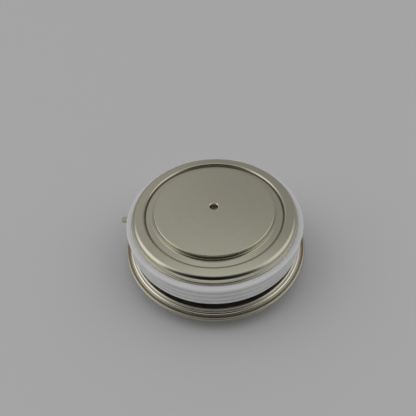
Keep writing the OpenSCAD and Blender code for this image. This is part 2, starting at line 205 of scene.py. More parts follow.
table_mesh = bpy.data.meshes.new("table")
corners = [(x * TABLE_HALF_M, y * TABLE_HALF_M, 0.0) for x, y in ((-1, -1), (1, -1), (1, 1), (-1, 1))]
table_mesh.from_pydata(corners, [], [(0, 1, 2, 3)])
table = bpy.data.objects.new("table", table_mesh)
bpy.context.scene.collection.objects.link(table)

table_finish = bpy.data.materials.new("table_finish")
table_finish.use_nodes = True
table_shader = table_finish.node_tree.nodes["Principled BSDF"]
table_shader.inputs["Base Color"].default_value = (*TABLE_COLOUR, 1)
table_shader.inputs["Roughness"].default_value = TABLE_ROUGHNESS
table_shader.inputs["Specular IOR Level"].default_value = TABLE_SPECULAR
table_mesh.materials.append(table_finish)
print("table:", 2 * TABLE_HALF_M, "m square at z 0")

# %% [markdown]
# ## Shader groups for the surface effects
# Four effects come back in several finishes, so each is a group that is built once: the fine rings
# that a lathe leaves, the soft clouds of a nickel bath, hairline marks from handling, and settled
# dust. All of them read Object coordinates, which stay with the part when the camera moves. Sizes
# go in as millimetres and the groups put out masks and heights only.


# %% Helpers: a vector at the scale of a feature, and the radius
def scaled(tree, vector, size):
    """The vector divided by a size in millimetres, so that one unit is one feature."""
    scale = add(tree, "ShaderNodeVectorMath", {"operation": "SCALE"})
    join(tree, vector, scale.inputs[0])
    join(tree, math_node(tree, "DIVIDE", 1.0 / MM, size), scale.inputs["Scale"])
    return scale.outputs[0]


def radius_of(tree, vector):
    """The distance from the capsule's axis and the height, both in metres."""
    split = add(tree, "ShaderNodeSeparateXYZ")
    join(tree, vector, split.inputs[0])
    flat = add(tree, "ShaderNodeCombineXYZ")
    join(tree, split.outputs["X"], flat.inputs["X"])
    join(tree, split.outputs["Y"], flat.inputs["Y"])
    length = add(tree, "ShaderNodeVectorMath", {"operation": "LENGTH"})
    join(tree, flat.outputs[0], length.inputs[0])
    return length.outputs["Value"], split.outputs["Z"]


print("scaled and radius_of ready")

# %% Group: turned marks
# The marks are noise along one line only, the radius plus the height, so they close into rings.
# The tone follows the same noise, stretched to much broader rings.
TONE_STRETCH = 0.06
RING_CONTRAST = (0.25, 0.75)
tree, gin, gout = new_group(
    "turned_marks",
    [("Vector", VECTOR, None), ("Pitch", FLOAT, 0.12)],
    [("Height", FLOAT), ("Tone", FLOAT)],
)
turned_marks = tree
radius, height = radius_of(tree, gin.outputs["Vector"])
along = math_node(tree, "MULTIPLY", math_node(tree, "ADD", radius, height), 1.0 / MM)
along = math_node(tree, "DIVIDE", along, gin.outputs["Pitch"])
for label, stretch in (("Height", 1.0), ("Tone", TONE_STRETCH)):
    rings = add(tree, "ShaderNodeTexNoise", {"noise_dimensions": "1D"}, Scale=1.0, Detail=3.0)
    join(tree, math_node(tree, "MULTIPLY", along, stretch), rings.inputs["W"])
    join(tree, remap(tree, rings.outputs[0], *RING_CONTRAST), gout.inputs[label])

# %% Group: plating clouds
# Two noises of different size: broad clouds for the tone, and a fine grain.
CLOUD_CONTRAST = (0.3, 0.7)
tree, gin, gout = new_group(
    "plating_cloud",
    [("Vector", VECTOR, None), ("Patch Size", FLOAT, 14.0), ("Grain Size", FLOAT, 0.25)],
    [("Tone", FLOAT), ("Grain", FLOAT)],
)
plating_cloud = tree
for label, size in (("Tone", "Patch Size"), ("Grain", "Grain Size")):
    cloud = add(tree, "ShaderNodeTexNoise", None, Scale=1.0, Detail=3.0, Roughness=0.55)
    join(tree, scaled(tree, gin.outputs["Vector"], gin.outputs[size]), cloud.inputs["Vector"])
    join(tree, remap(tree, cloud.outputs[0], *CLOUD_CONTRAST), gout.inputs[label])

# %% Group: handling marks
# A hairline is noise that is squeezed across the line and stretched along it, cut off near its top.
# Three directions are enough to look random, and a second noise breaks the lines up in patches.
HAIRLINE_MM = 0.07
HAIRLINE_ANGLES = (12, 74, 141)
HAIRLINE_EDGE = 14.0
BREAK_MM = 6
BREAK_CONTRAST = (0.42, 0.6)
tree, gin, gout = new_group(
    "handling_marks",
    [("Vector", VECTOR, None), ("Length", FLOAT, 5.0), ("Rarity", FLOAT, 0.7)],
    [("Mask", FLOAT)],
)
handling_marks = tree
marks = 0.0
about_z = {"rotation_type": "Z_AXIS"}
for angle in HAIRLINE_ANGLES:
    turned = add(tree, "ShaderNodeVectorRotate", about_z, Angle=math.radians(angle))
    join(tree, gin.outputs["Vector"], turned.inputs["Vector"])
    split = add(tree, "ShaderNodeSeparateXYZ")
    join(tree, turned.outputs[0], split.inputs[0])
    line = add(tree, "ShaderNodeCombineXYZ")
    across = math_node(tree, "DIVIDE", split.outputs["X"], HAIRLINE_MM * MM)
    join(tree, across, line.inputs["X"])
    for axis in ("Y", "Z"):
        part = math_node(tree, "MULTIPLY", split.outputs[axis], 1.0 / MM)
        join(tree, math_node(tree, "DIVIDE", part, gin.outputs["Length"]), line.inputs[axis])
    noise = add(tree, "ShaderNodeTexNoise", None, Scale=1.0, Detail=1.0)
    join(tree, line.outputs[0], noise.inputs["Vector"])
    over = math_node(tree, "SUBTRACT", noise.outputs[0], gin.outputs["Rarity"])
    line_mask = math_node(tree, "MULTIPLY", over, HAIRLINE_EDGE, clamp=True)
    marks = math_node(tree, "ADD", line_mask, marks)
patches = add(tree, "ShaderNodeTexNoise", None, Scale=1.0 / (BREAK_MM * MM), Detail=1.0)
join(tree, gin.outputs["Vector"], patches.inputs["Vector"])
broken = remap(tree, patches.outputs[0], *BREAK_CONTRAST)
join(tree, math_node(tree, "MULTIPLY", marks, broken, clamp=True), gout.inputs["Mask"])

# %% Group: settled dust
# Each Voronoi cell may hold one speck of its own size. Dust lies only where the surface looks up.
SPECK_EDGE = 60.0
LOOKS_UP = (0.6, 0.9)
tree, gin, gout = new_group(
    "settled_dust",
    [("Vector", VECTOR, None), ("Spacing", FLOAT, 2.0), ("Speck", FLOAT, 0.06)],
    [("Mask", FLOAT)],
)
settled_dust = tree
cells = add(tree, "ShaderNodeTexVoronoi", None, Scale=1.0)
join(tree, scaled(tree, gin.outputs["Vector"], gin.outputs["Spacing"]), cells.inputs["Vector"])
pick = add(tree, "ShaderNodeSeparateColor")
join(tree, cells.outputs["Color"], pick.inputs[0])
own_size = math_node(tree, "POWER", pick.outputs[0], 3.0)
speck = math_node(tree, "MULTIPLY", own_size, gin.outputs["Speck"])
inside = math_node(tree, "SUBTRACT", speck, cells.outputs["Distance"])
inside = math_node(tree, "MULTIPLY", inside, SPECK_EDGE, clamp=True)
facing = add(tree, "ShaderNodeTexCoord")
up = add(tree, "ShaderNodeSeparateXYZ")
join(tree, facing.outputs["Normal"], up.inputs[0])
upward = remap(tree, up.outputs["Z"], *LOOKS_UP)
join(tree, math_node(tree, "MULTIPLY", inside, upward), gout.inputs["Mask"])

# %% [markdown]
# ## Finish helpers
# A finish starts from one Principled shader. Values that are the same all over go on its own
# sockets, because an exporter can read them there. Only what changes over the surface is linked.


# %% Finish helpers
finishes = {}


def new_finish(slot, colour, **sockets):
    """A Principled material for one of the record's slots, with its constant values set."""
    material = bpy.data.materials.new(slot + "_finish")
    material.use_nodes = True
    tree = material.node_tree
    shader = tree.nodes["Principled BSDF"]
    shader.inputs["Base Color"].default_value = (*colour, 1)
    for name, value in sockets.items():
        shader.inputs[name.replace("_", " ")].default_value = value
    finishes[slot] = material
    print("finish:", slot)
    place = add(tree, "ShaderNodeTexCoord").outputs["Object"]
    return tree, shader, place


def two_tones(tree, mask, clean, marked, share=None):
    """A colour that goes from clean to marked with the mask, or only by a share of it."""
    if share is not None:
        mask = math_node(tree, "MULTIPLY", mask, share)
    mix = add(tree, "ShaderNodeMix", {"data_type": "RGBA"})
    join(tree, mask, mix.inputs[0])
    for socket, colour in ((mix.inputs[6], clean), (mix.inputs[7], marked)):
        if isinstance(colour, tuple):
            socket.default_value = (*colour, 1)
        else:
            join(tree, colour, socket)
    return mix.outputs[2]


def relief(tree, shader, height, microns):
    """A bump that is so many thousandths of a millimetre high."""
    bump = add(tree, "ShaderNodeBump", None, Strength=1.0, Distance=microns * 1e-6)
    join(tree, height, bump.inputs["Height"])
    join(tree, bump.outputs[0], shader.inputs["Normal"])


def shade(colour, factor):
    """The same colour, lighter or darker."""
    return tuple(min(1.0, c * factor) for c in colour)


print("finish helpers ready")

# %% [markdown]
# ## Nickel plating
# The poles are turned copper with a satin nickel skin, and the sheets are bright pressed steel with
# the same skin. Plating is a plain metal, so its look comes from four small things: a warm tone
# that drifts in soft clouds, a roughness that drifts with it, rings from the lathe, and hairlines.
# The copper keeps a deeper satin than the sheet.
#
# Some places differ, and each is found by its radius and height: the weld and the brown heat tint
# beside it, painted shade in the crease at the foot of the lid's step, a painted highlight on the
# lid's skirt and on the flange's shelf, and the centring holes, which have a polished lip with a
# painted highlight, and painted shade in their bottoms.

# %% Tones and places on the plating
NICKEL = (0.53, 0.515, 0.412)
NICKEL_STAIN = (0.50, 0.47, 0.36)
# A lighter nickel, used as a painted highlight on the lid's skirt and the flange's shelf.
HIGHLIGHT_NICKEL = (0.73, 0.70, 0.59)
HEAT_TINT = (0.25, 0.215, 0.15)
WELD_TONE = (0.49, 0.475, 0.375)
# The crease tone is painted shade.
CREASE_SHADE = (0.16, 0.13, 0.09)
# The hole tone is painted shade in the bottoms of the centring holes.
HOLE_SHADE = (0.33, 0.27, 0.2)
DUST_TONE = (0.55, 0.54, 0.52)

# Radii, heights and depths are in millimetres. Both contact faces lie 13 mm from the middle.
MIDDLE_Z = 13.0
HOLE_R, HOLE_SHADE_DEPTH = 1.76, 0.9
LIP_R, LIP_DEPTH = 2.1, 0.6
STEP_R, LID_FLAT_Z = 28.8, 23.93
SKIRT_R, SKIRT_TOP_Z = 33.9, 23.9
FOOT_TOP_Z, FOOT_R = 22.7, 34.8
SHELF_R, SHELF_TOP_Z = 35.2, 8.7
TINT_R, WELD_R, FLANGE_TOP_Z = 38.2, 39.2, 9.0
print("plating:", NICKEL, "and where it is highlighted:", HIGHLIGHT_NICKEL)


# %% Masks of the places
# A number that is added to a limit is a margin, or the width over which the place fades.
def plated_places(tree, place, lip_highlight):
    """Masks of the places that differ, each with its tone and what it adds to the roughness."""
    radius, height = radius_of(tree, place)
    from_middle = math_node(tree, "ABSOLUTE", math_node(tree, "SUBTRACT", height, MIDDLE_Z * MM))
    from_step = math_node(tree, "ABSOLUTE", math_node(tree, "SUBTRACT", radius, STEP_R * MM))
    shade_top = MIDDLE_Z - HOLE_SHADE_DEPTH
    # Painted shade: the crease at the foot of the lid's step gets a dark tone.
    crease = both(
        tree,
        falls(tree, from_step, 0.35, 0.7, top=0.8),
        falls(tree, height, LID_FLAT_Z + 0.35, LID_FLAT_Z + 0.75),
        above(tree, height, LID_FLAT_Z - 0.1),
    )
    # Painted highlight: the lid's skirt and the flange's shelf below it get the lighter nickel.
    skirt = both(
        tree,
        rises(tree, radius, SKIRT_R - 0.4, SKIRT_R),
        falls(tree, height, SKIRT_TOP_Z, SKIRT_TOP_Z + 0.5),
        above(tree, height, FOOT_TOP_Z),
        below(tree, radius, FOOT_R),
    )
    shelf = both(
        tree,
        rises(tree, radius, SHELF_R, SHELF_R + 0.4),
        falls(tree, height, SHELF_TOP_Z, SHELF_TOP_Z + 0.1),
    )
    # Painted shade: each centring hole gets a dark tone below a small depth.
    hole = both(
        tree,
        falls(tree, radius, HOLE_R, HOLE_R + 0.04),
        falls(tree, from_middle, shade_top - 0.4, shade_top),
    )
    # Painted highlight: the hole's lip gets a lighter tone, and its lower roughness is real polish.
    lip = both(tree, below(tree, radius, LIP_R), above(tree, from_middle, MIDDLE_Z - LIP_DEPTH))
    flange = below(tree, height, FLANGE_TOP_Z)
    tint = both(tree, rises(tree, radius, TINT_R, TINT_R + 0.35, smooth=True), flange)
    weld = both(tree, rises(tree, radius, WELD_R, WELD_R + 0.25, smooth=True), flange)
    return (
        (crease, CREASE_SHADE, 0.0),
        (skirt, HIGHLIGHT_NICKEL, 0.0),
        (shelf, HIGHLIGHT_NICKEL, 0.0),
        (hole, HOLE_SHADE, 0.2),
        (lip, lip_highlight, -0.12),
        (tint, HEAT_TINT, 0.12),
        (weld, WELD_TONE, 0.1),
    )


print("radii of tint and weld:", TINT_R, WELD_R, "mm")


# %% Nickel plating
CLOUD_SHARE, RING_SHARE, LINE_SHARE = 0.3, 0.35, 0.35
GRAIN_ROUGHER, MARKS_ROUGHER = 0.03, 0.12
LINE_CUT = -0.6


def nickel(slot, colour, rough, drift, pitch, cloud_mm, ring_microns=0.8, rarity=0.76):
    """Drift is how much the roughness changes in the clouds, and pitch is a turned ring's width."""
    tree, shader, place = new_finish(slot, colour, Metallic=1.0)
    cloud = use_group(tree, plating_cloud, Vector=place, Patch_Size=cloud_mm)
    rings = use_group(tree, turned_marks, Vector=place, Pitch=pitch)
    lines = use_group(tree, handling_marks, Vector=place, Rarity=rarity)
    dust = use_group(tree, settled_dust, Vector=place)

    tone = colour
    for mask, share, other in (
        (cloud.outputs["Tone"], CLOUD_SHARE, NICKEL_STAIN),
        (rings.outputs["Tone"], RING_SHARE, shade(colour, 0.93)),
        (lines.outputs[0], LINE_SHARE, shade(colour, 1.25)),
    ):
        tone = two_tones(tree, mask, tone, other, share)
    tone = two_tones(tree, dust.outputs[0], tone, DUST_TONE)
    base = remap(tree, cloud.outputs["Tone"], 0.0, 1.0, rough - drift / 2, rough + drift)
    # The lip's tone, half again lighter than the plating, is a painted highlight.
    for mask, other, rougher in plated_places(tree, place, shade(colour, 1.5)):
        tone = two_tones(tree, mask, tone, other)
        if rougher:
            base = math_node(tree, "ADD", base, math_node(tree, "MULTIPLY", mask, rougher))
    join(tree, tone, shader.inputs["Base Color"])

    fine = math_node(tree, "MULTIPLY", cloud.outputs["Grain"], GRAIN_ROUGHER)
    marks = math_node(tree, "ADD", lines.outputs[0], dust.outputs[0])
    dull = math_node(tree, "MULTIPLY", marks, MARKS_ROUGHER)
    base = math_node(tree, "ADD", math_node(tree, "ADD", base, fine), dull, clamp=True)
    join(tree, base, shader.inputs["Roughness"])
    join(tree, math_node(tree, "SUBTRACT", 1.0, dust.outputs[0]), shader.inputs["Metallic"])
    cut = math_node(tree, "MULTIPLY", lines.outputs[0], LINE_CUT)
    relief(tree, shader, math_node(tree, "ADD", rings.outputs["Height"], cut), ring_microns)


nickel("plated_copper", shade(NICKEL, 1.04), rough=0.24, drift=0.03, pitch=0.16, cloud_mm=16.0)
nickel("plated_sheet", NICKEL, rough=0.13, drift=0.04, pitch=0.5, cloud_mm=9.0)

# %% [markdown]
# ## Glazed alumina
# The wall is white ceramic under a thin clear glaze, so it has a soft body colour and a sharper
# coat over it. It carries tiny dark pinholes, and the bottoms of the grooves are darker, partly from
# grime and partly as painted shade that deepens the ribs. The undercut below the last rib looks
# nearly black, much darker than shade alone makes white ceramic, so the wall of that recess carries
# painted shade: a dark matt colour without glaze.

# %% Glazed alumina
ALUMINA = (0.92, 0.92, 0.925)
# The darker groove tone is partly grime and partly painted shade.
GRIME_AND_SHADE = (0.5, 0.49, 0.47)
PINHOLE = (0.25, 0.23, 0.2)
# The recess tone is painted shade.
RECESS_SHADE = (0.085, 0.085, 0.087)
GLAZE = 0.5
GRIME_AND_SHADE_SHARE = (0.3, 0.65)
BODY_ROUGHNESS = (0.34, 0.46)
RECESS_ROUGHER = 0.4
GRAIN_MICRONS = 6

# Radii, heights and depths are in millimetres.
CERAMIC_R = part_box("ceramic_ring")[1].y / MM
GROOVE_DEPTH = 0.35
RIBS_TOP_Z = 21.4
RECESS_TOP_Z, RECESS_R = 13.3, 35.2
BORE_R = 30.4
print("ceramic radius", round(CERAMIC_R, 2), "mm, recess below", RECESS_TOP_Z, "mm")

# %% Ceramic material
tree, shader, place = new_finish(
    "alumina", ALUMINA, Roughness=0.4, Coat_Weight=GLAZE, Coat_Roughness=0.12, Coat_IOR=1.5
)
radius, height = radius_of(tree, place)
cloud = use_group(tree, plating_cloud, Vector=place, Patch_Size=11.0, Grain_Size=0.4)
pinholes = use_group(tree, settled_dust, Vector=place, Spacing=2.6, Speck=0.05)
# The groove bottoms are darker: partly grime, partly painted shade that deepens the ribs.
groove = falls(tree, radius, CERAMIC_R - GROOVE_DEPTH, CERAMIC_R - 0.05)
amount = remap(tree, cloud.outputs["Tone"], 0.0, 1.0, *GRIME_AND_SHADE_SHARE)
grime_and_shade = both(tree, groove, below(tree, height, RIBS_TOP_Z), amount)
# Painted shade: the recess wall gets a near-black matt tone, without glaze.
recess = both(
    tree,
    below(tree, height, RECESS_TOP_Z),
    falls(tree, radius, RECESS_R - 0.4, RECESS_R),
    above(tree, radius, BORE_R),
)
tone = two_tones(tree, cloud.outputs["Tone"], ALUMINA, shade(ALUMINA, 0.95), share=0.5)
tone = two_tones(tree, grime_and_shade, tone, GRIME_AND_SHADE)
tone = two_tones(tree, pinholes.outputs[0], tone, PINHOLE, share=0.6)
join(tree, two_tones(tree, recess, tone, RECESS_SHADE), shader.inputs["Base Color"])
glaze = math_node(tree, "SUBTRACT", GLAZE, math_node(tree, "MULTIPLY", recess, GLAZE))
join(tree, glaze, shader.inputs["Coat Weight"])
rough = remap(tree, cloud.outputs["Grain"], 0.0, 1.0, *BODY_ROUGHNESS)
rough = math_node(tree, "ADD", rough, math_node(tree, "MULTIPLY", recess, RECESS_ROUGHER))
join(tree, rough, shader.inputs["Roughness"])
relief(tree, shader, cloud.outputs["Grain"], GRAIN_MICRONS)

# %% [markdown]
# ## Finishes of the inner parts
# Nobody sees these on a closed capsule, but someone who opens the model does. Each metal has its
# own colour, roughness and grain: lapped molybdenum is grey with fine random scratches, silver
# foil is soft and cloudy, spring wire is bright, and the plastics have a moulded grain. The silicon
# wafer is a dark polished plate.


# %% Inner metals
def plain_metal(slot, colour, rough, cloud_mm, grain_mm, microns, rarity=0.68):
    """A bare metal with soft clouds, hairlines and a fine grain."""
    tree, shader, place = new_finish(slot, colour, Metallic=1.0)
    cloud = use_group(tree, plating_cloud, Vector=place, Patch_Size=cloud_mm, Grain_Size=grain_mm)
    lines = use_group(tree, handling_marks, Vector=place, Length=3.0, Rarity=rarity)
    tone = two_tones(tree, cloud.outputs["Tone"], colour, shade(colour, 0.86), share=0.6)
    tone = two_tones(tree, lines.outputs[0], tone, shade(colour, 1.2), share=0.4)
    join(tree, tone, shader.inputs["Base Color"])
    base = remap(tree, cloud.outputs["Grain"], 0.0, 1.0, rough - 0.05, rough + 0.06)
    dull = math_node(tree, "MULTIPLY", lines.outputs[0], 0.1)
    join(tree, math_node(tree, "ADD", base, dull), shader.inputs["Roughness"])
    relief(tree, shader, cloud.outputs["Grain"], microns)


plain_metal("braze", (0.70, 0.68, 0.58), 0.3, cloud_mm=5.0, grain_mm=0.2, microns=4)
plain_metal("silver", (0.80, 0.79, 0.76), 0.36, cloud_mm=7.0, grain_mm=0.3, microns=5)
plain_metal("molybdenum", (0.54, 0.54, 0.56), 0.42, cloud_mm=12.0, grain_mm=0.08, microns=2,
            rarity=0.64)
plain_metal("silicon", (0.30, 0.32, 0.37), 0.12, cloud_mm=18.0, grain_mm=0.05, microns=0.4,
            rarity=0.75)
plain_metal("spring_steel", (0.58, 0.58, 0.58), 0.22, cloud_mm=2.0, grain_mm=0.06, microns=2)
plain_metal("bare_copper", (0.75, 0.45, 0.31), 0.28, cloud_mm=3.0, grain_mm=0.08, microns=2)


# %% Plastics and rubber
def moulded(slot, colour, rough, grain_mm, microns, **sockets):
    """A plastic or rubber with a moulded grain, faint clouds and a few specks."""
    tree, shader, place = new_finish(slot, colour, **sockets)
    cloud = use_group(tree, plating_cloud, Vector=place, Patch_Size=6.0, Grain_Size=grain_mm)
    specks = use_group(tree, settled_dust, Vector=place, Spacing=1.5)
    tone = two_tones(tree, cloud.outputs["Tone"], colour, shade(colour, 0.92), share=0.6)
    tone = two_tones(tree, specks.outputs[0], tone, shade(colour, 0.6))
    join(tree, tone, shader.inputs["Base Color"])
    base = remap(tree, cloud.outputs["Grain"], 0.0, 1.0, rough - 0.06, rough + 0.06)
    join(tree, base, shader.inputs["Roughness"])
    relief(tree, shader, cloud.outputs["Grain"], microns)


moulded("insulating_plastic", (0.78, 0.77, 0.73), 0.42, grain_mm=0.15, microns=6, IOR=1.36)
moulded("silicone_rubber", (0.62, 0.60, 0.56), 0.6, grain_mm=0.1, microns=8, Sheen_Weight=0.1)

# %% Give each solid its finish
slot_of = {part["node"]: part["material_slot"] for part in frame["record"]["subparts"]}
for name, node in frame["nodes"].items():
    for material_slot in node.material_slots:
        material_slot.material = finishes[slot_of[name]]
print(len(finishes), "finishes on", len(slot_of), "solids")

# %% [markdown]
# ## Sections of the round pieces
# A solid of revolution is known once its section is known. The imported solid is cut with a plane
# through the axis, and the cut's outline is the section. Points that lie on a straight line are
# dropped, because the flats need none. The cut edges of a real sheet are never quite sharp, so each
# of them is then rounded a little.

# %% Section of a round solid
CUT_AZIMUTH_DEG = 0.9
STRAIGHT_DEG = 0.5
MERGE_M = 1e-6
CLOSE_M = 1e-7


def section_of(node):
    """The outline of a round solid's section, as (radius, height) points in metres, in order."""
    shape = bmesh.new()
    shape.from_mesh(frame["nodes"][node].data)
    bmesh.ops.remove_doubles(shape, verts=shape.verts, dist=MERGE_M)
    across = turn(CUT_AZIMUTH_DEG, "Z") @ Vector((0, 1, 0))
    everything = shape.verts[:] + shape.edges[:] + shape.faces[:]
    result = bmesh.ops.bisect_plane(
        shape, geom=everything, dist=1e-8, plane_co=(0, 0, 0), plane_no=across
    )
    cut_edges = (item for item in result["geom_cut"] if isinstance(item, bmesh.types.BMEdge))
    edges = {edge for edge in cut_edges if edge.verts[0].co.x > 0}
    ends = [vert for edge in edges for vert in edge.verts]
    ring = [max(ends, key=lambda vert: (vert.co.x, vert.co.z))]
    while edges:
        onward = [edge for edge in ring[-1].link_edges if edge in edges]
        if not onward:
            break
        edges.discard(onward[0])
        ring.append(onward[0].other_vert(ring[-1]))
    points = [Vector((math.hypot(v.co.x, v.co.y), v.co.z)) for v in ring[:-1]]
    shape.free()
    kept = []
    for i, point in enumerate(points):
        before, after = point - points[i - 1], points[(i + 1) % len(points)] - point
        if before.length < CLOSE_M or after.length < CLOSE_M:
            continue
        if before.angle(after) > math.radians(STRAIGHT_DEG):
            kept.append(point)
    return kept


for name in ("cathode_diaphragm", "weld_ring", "anode_diaphragm", "rim_weld"):
    print(name, "section:", len(section_of(name)), "points")

# %% Rounded cut edges
# A corner that opens by less than this angle is a cut edge. All wider ones are bends.
EDGE_OPENING_DEG = 120
EDGE_MM = 0.12
EDGE_STEPS = 4


def eased(points, edge_r):
    """Rounds each cut edge of a section, and only takes metal away."""
    out = []
    for i, point in enumerate(points):
        before, after = points[i - 1] - point, points[(i + 1) % len(points)] - point
        opening = before.angle(after)
        bend = opening > math.radians(EDGE_OPENING_DEG)
        if bend or min(before.length, after.length) < 2 * edge_r:
            out.append(point)
            continue
        reach = edge_r / math.tan(opening / 2)
        start, end = point + before.normalized() * reach, point + after.normalized() * reach
        for step in range(EDGE_STEPS + 1):
            k = step / EDGE_STEPS
            out.append(start * (1 - k) ** 2 + point * 2 * k * (1 - k) + end * k ** 2)
    return out


print("lid section with rounded edges:",
      len(eased(section_of("cathode_diaphragm"), EDGE_MM * MM)), "points")

# %% [markdown]
# ## Pressed sheets and weld bead, with Geometry Nodes
# The lid and the two flange sheets are pressed from thin metal, and the rim is closed by a weld.
# One node tree makes all of them: it sweeps the section round a circle, and then moves the points
# up and down by a few hundredths of a millimetre, as a press leaves a thin sheet. Without that,
# the mirrored light runs in lines that are too perfect. The weld uses the same tree with many
# short ripples in the radius instead. The section comes in as the object's own outline. The ring
# under the ceramic is swept as well, without waves, because its rounded edge draws a fine line.

# %% Geometry Nodes tree: sockets
SWEEP_R_MM = 20.0
FADE_MM = 1
GEOMETRY, OBJECT_MATERIAL, INTEGER = "NodeSocketGeometry", "NodeSocketMaterial", "NodeSocketInt"

swept = bpy.data.node_groups.new("swept_section", "GeometryNodeTree")
swept.interface.new_socket("Geometry", in_out="INPUT", socket_type=GEOMETRY)
for label, kind, value in (
    ("Segments", INTEGER, 384), ("Wave Height", FLOAT, 0.0), ("Wave Size", FLOAT, 10.0),
    ("Ripple Count", INTEGER, 0), ("Ripple Depth", FLOAT, 0.0), ("Inner Radius", FLOAT, 0.0),
    ("Outer Radius", FLOAT, 1.0), ("Material", OBJECT_MATERIAL, None),
):
    socket = swept.interface.new_socket(label, in_out="INPUT", socket_type=kind)
    if value is not None:
        socket.default_value = value
swept.interface.new_socket("Geometry", in_out="OUTPUT", socket_type=GEOMETRY)
gin, gout = swept.nodes.new("NodeGroupInput"), swept.nodes.new("NodeGroupOutput")
print("swept_section takes", [item.name for item in swept.interface.items_tree])

# %% Geometry Nodes tree: sweep
outline = add(swept, "GeometryNodeMeshToCurve")
join(swept, gin.outputs["Geometry"], outline.inputs[0])
path = add(swept, "GeometryNodeCurvePrimitiveCircle", None, Radius=SWEEP_R_MM * MM)
join(swept, gin.outputs["Segments"], path.inputs["Resolution"])
sweep = add(swept, "GeometryNodeCurveToMesh")
join(swept, path.outputs[0], sweep.inputs["Curve"])
join(swept, outline.outputs[0], sweep.inputs["Profile Curve"])
closed = add(swept, "GeometryNodeMergeByDistance", None, Distance=CLOSE_M)
join(swept, sweep.outputs[0], closed.inputs["Geometry"])
print("sweep along a circle of", SWEEP_R_MM, "mm")

# %% Geometry Nodes tree: waves
# The wave fades out towards both radii, where the sheet is held by its neighbours.
spot = add(swept, "GeometryNodeInputPosition")
radius, height = radius_of(swept, spot.outputs[0])
split = add(swept, "ShaderNodeSeparateXYZ")
join(swept, spot.outputs[0], split.inputs[0])
inner_gap = math_node(swept, "SUBTRACT", radius, gin.outputs["Inner Radius"])
outer_gap = math_node(swept, "SUBTRACT", gin.outputs["Outer Radius"], radius)
gap = math_node(swept, "MINIMUM", inner_gap, outer_gap)
free = math_node(swept, "MULTIPLY", gap, 1.0 / (FADE_MM * MM), clamp=True)
flat = add(swept, "ShaderNodeCombineXYZ")
join(swept, split.outputs["X"], flat.inputs["X"])
join(swept, split.outputs["Y"], flat.inputs["Y"])
noise = add(swept, "ShaderNodeTexNoise", None, Scale=1.0, Detail=1.0)
join(swept, scaled(swept, flat.outputs[0], gin.outputs["Wave Size"]), noise.inputs["Vector"])
wave = math_node(swept, "SUBTRACT", noise.outputs[0], 0.5)
wave = math_node(swept, "MULTIPLY", wave, free)
wave = math_node(swept, "MULTIPLY", wave, gin.outputs["Wave Height"])
lift = add(swept, "ShaderNodeCombineXYZ")
join(swept, wave, lift.inputs["Z"])
print("waves fade over", FADE_MM, "mm")

# %% Geometry Nodes tree: ripples
# A ripple only ever takes metal away, so the bead stays inside the solid's size.
azimuth = math_node(swept, "ARCTAN2", split.outputs["Y"], split.outputs["X"])
phase = math_node(swept, "MULTIPLY", azimuth, gin.outputs["Ripple Count"])
turns = math_node(swept, "COSINE", phase)
dip = math_node(swept, "MULTIPLY", math_node(swept, "SUBTRACT", turns, 1.0), 0.5)
dip = math_node(swept, "MULTIPLY", dip, gin.outputs["Ripple Depth"])
outwards = add(swept, "ShaderNodeVectorMath", {"operation": "NORMALIZE"})
join(swept, flat.outputs[0], outwards.inputs[0])
inward = add(swept, "ShaderNodeVectorMath", {"operation": "SCALE"})
join(swept, outwards.outputs[0], inward.inputs[0])
join(swept, dip, inward.inputs["Scale"])
print("ripples only go inwards")

# %% Geometry Nodes tree: moved points and material
shift = add(swept, "ShaderNodeVectorMath", {"operation": "ADD"})
join(swept, lift.outputs[0], shift.inputs[0])
join(swept, inward.outputs[0], shift.inputs[1])
moved = add(swept, "GeometryNodeSetPosition")
join(swept, closed.outputs[0], moved.inputs["Geometry"])
join(swept, shift.outputs[0], moved.inputs["Offset"])

whole = add(swept, "GeometryNodeRealizeInstances")
join(swept, moved.outputs[0], whole.inputs[0])
painted = add(swept, "GeometryNodeSetMaterial")
join(swept, whole.outputs[0], painted.inputs["Geometry"])
join(swept, gin.outputs["Material"], painted.inputs["Material"])
join(swept, painted.outputs[0], gout.inputs[0])
print("swept_section:", len(swept.nodes), "nodes")


# %% Helpers: outline object, plain mesh, smooth piece
def outline_object(name, points):
    """A closed outline in the sweep's own axes: X is outwards from its circle, and Y is downwards."""
    mesh = bpy.data.meshes.new(name)
    edges = [(i, (i + 1) % len(points)) for i in range(len(points))]
    mesh.from_pydata([(r - SWEEP_R_MM * MM, -z, 0.0) for r, z in points], edges, [])
    thing = bpy.data.objects.new(name, mesh)
    bpy.context.scene.collection.objects.link(thing)
    return thing


def plain_mesh(thing, name):
    """The result of an object's modifiers as a mesh of its own, and the object is gone."""
    bpy.context.view_layer.update()
    evaluated = thing.evaluated_get(bpy.context.evaluated_depsgraph_get())
    mesh = bpy.data.meshes.new_from_object(evaluated)
    mesh.name = name
    bpy.data.objects.remove(thing)
    return mesh


def finished_piece(name, mesh, node, crease_deg=32):
    """Closes the mesh, turns its faces outwards, smooths its bends and lets it stand for a node."""
    slot = slot_of[node]
    shape = bmesh.new()
    shape.from_mesh(mesh)
    bmesh.ops.remove_doubles(shape, verts=shape.verts, dist=CLOSE_M)
    bmesh.ops.recalc_face_normals(shape, faces=shape.faces)
    if shape.calc_volume(signed=True) < 0:
        bmesh.ops.reverse_faces(shape, faces=shape.faces)
    open_edges = sum(1 for edge in shape.edges if not edge.is_manifold)
    shape.to_mesh(mesh)
    shape.free()
    mesh.materials.clear()
    mesh.materials.append(finishes[slot])
    mesh.shade_smooth()
    mesh.set_sharp_from_angle(angle=math.radians(crease_deg))
    piece = bpy.data.objects.new(name, mesh)
    bpy.context.scene.collection.objects.link(piece)
    even = piece.modifiers.new("even shading on flats", "WEIGHTED_NORMAL")
    even.keep_sharp = True
    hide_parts(node)
    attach(piece, "root")
    print(name, "faces", len(mesh.polygons), "open edges", open_edges)
    return piece


print("piece helpers ready")


